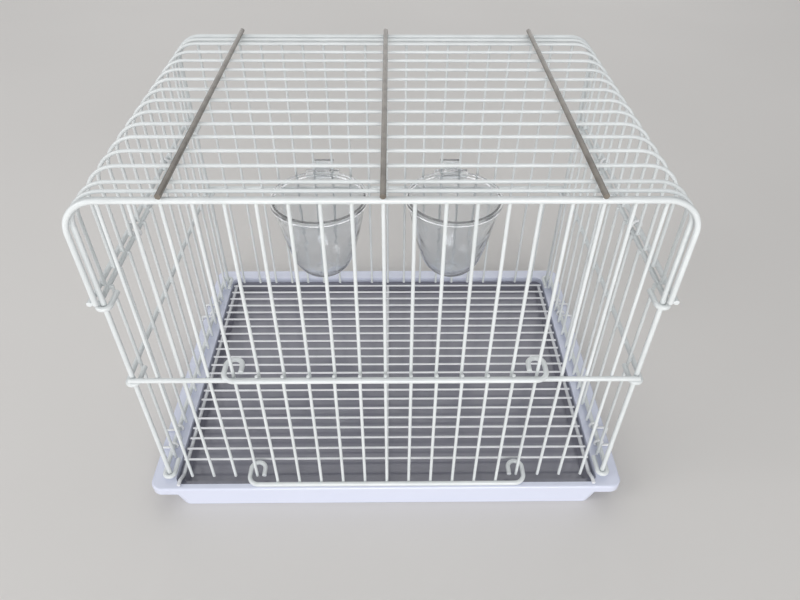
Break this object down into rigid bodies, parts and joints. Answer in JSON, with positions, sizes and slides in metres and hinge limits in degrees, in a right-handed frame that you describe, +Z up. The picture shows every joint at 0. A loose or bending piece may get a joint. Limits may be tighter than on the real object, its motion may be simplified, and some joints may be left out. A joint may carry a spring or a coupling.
{
  "type": "pet transport cage",
  "caption": "Small wire pet transport cage with a rounded roof, a lifting front door, clear hanging cups, a floor grid and a latched plastic base.",
  "frame": {"origin": "middle of the underside of the base", "axes": "+Z up, -Y the front with the door, +X to the right seen from the front"},
  "size_m": [0.3262, 0.238, 0.2466],
  "materials": {
    "wire_coating": "smooth white powder coat",
    "rib_coating": "dull grey-brown coat",
    "fitting_coating": "smooth white powder coat",
    "grid_coating": "smooth white powder coat",
    "base_plastic": "glossy moulded plastic",
    "liner_plastic": "glossy moulded plastic",
    "cup_plastic": "clear polished plastic"
  },
  "bodies": {
    "cage": {"back_frame": "wire_coating", "back_middle_bar": "wire_coating", "back_wires": "wire_coating", "base_tray": "base_plastic", "cup_rail": "wire_coating", "door_guides": "wire_coating", "front_frame": "wire_coating", "front_left_wires": "wire_coating", "front_middle_bar": "wire_coating", "front_right_wires": "wire_coating", "front_upper_wires": "wire_coating", "left_back_hinge_ring": "fitting_coating", "left_bottom_rail": "wire_coating", "left_front_hinge_ring": "fitting_coating", "left_middle_rail": "wire_coating", "left_roof_rail": "wire_coating", "left_side_wires": "wire_coating", "left_top_rail": "wire_coating", "liner_tray": "liner_plastic", "right_back_hinge_ring": "fitting_coating", "right_bottom_rail": "wire_coating", "right_front_hinge_ring": "fitting_coating", "right_middle_rail": "wire_coating", "right_roof_rail": "wire_coating", "right_side_wires": "wire_coating", "right_top_rail": "wire_coating", "roof_back_hoop": "wire_coating", "roof_front_hoop": "wire_coating", "roof_ribs": "rib_coating", "roof_wires": "wire_coating"},
    "door": {"door_bottom_bar": "wire_coating", "door_top_bar": "wire_coating", "door_wires": "wire_coating"},
    "floor_grid": {"floor_grid_rods": "grid_coating", "floor_grid_wires": "grid_coating"},
    "left_cup_body": {"left_cup": "cup_plastic"},
    "right_cup_body": {"right_cup": "cup_plastic"},
    "left_front_base_clip_body": {"left_front_base_clip": "fitting_coating"},
    "left_back_base_clip_body": {"left_back_base_clip": "fitting_coating"},
    "right_front_base_clip_body": {"right_front_base_clip": "fitting_coating"},
    "right_back_base_clip_body": {"right_back_base_clip": "fitting_coating"}
  },
  "joints": [
    {"name": "door_slide", "type": "slide", "parent": "cage", "child": "door", "axis": [0, 0, 1], "range_m": [0, 0.095]},
    {"name": "floor_grid_lift", "type": "slide", "parent": "cage", "child": "floor_grid", "axis": [0, 0, 1], "range_m": [0, 0.04]},
    {"name": "left_cup_lift", "type": "slide", "parent": "cage", "child": "left_cup_body", "axis": [0, 0, 1], "range_m": [0, 0.025]},
    {"name": "right_cup_lift", "type": "slide", "parent": "cage", "child": "right_cup_body", "axis": [0, 0, 1], "range_m": [0, 0.025]},
    {"name": "left_front_base_clip_hinge", "type": "hinge", "parent": "cage", "child": "left_front_base_clip_body", "pos_m": [-0.1514, -0.07765, 0.0225], "axis": [0, 1, 0], "range_deg": [0, 100]},
    {"name": "left_back_base_clip_hinge", "type": "hinge", "parent": "cage", "child": "left_back_base_clip_body", "pos_m": [-0.1514, 0.0605, 0.0225], "axis": [0, 1, 0], "range_deg": [0, 100]},
    {"name": "right_front_base_clip_hinge", "type": "hinge", "parent": "cage", "child": "right_front_base_clip_body", "pos_m": [0.1514, -0.07765, 0.0225], "axis": [0, -1, 0], "range_deg": [0, 100]},
    {"name": "right_back_base_clip_hinge", "type": "hinge", "parent": "cage", "child": "right_back_base_clip_body", "pos_m": [0.1514, 0.0605, 0.0225], "axis": [0, -1, 0], "range_deg": [0, 100]}
  ]
}
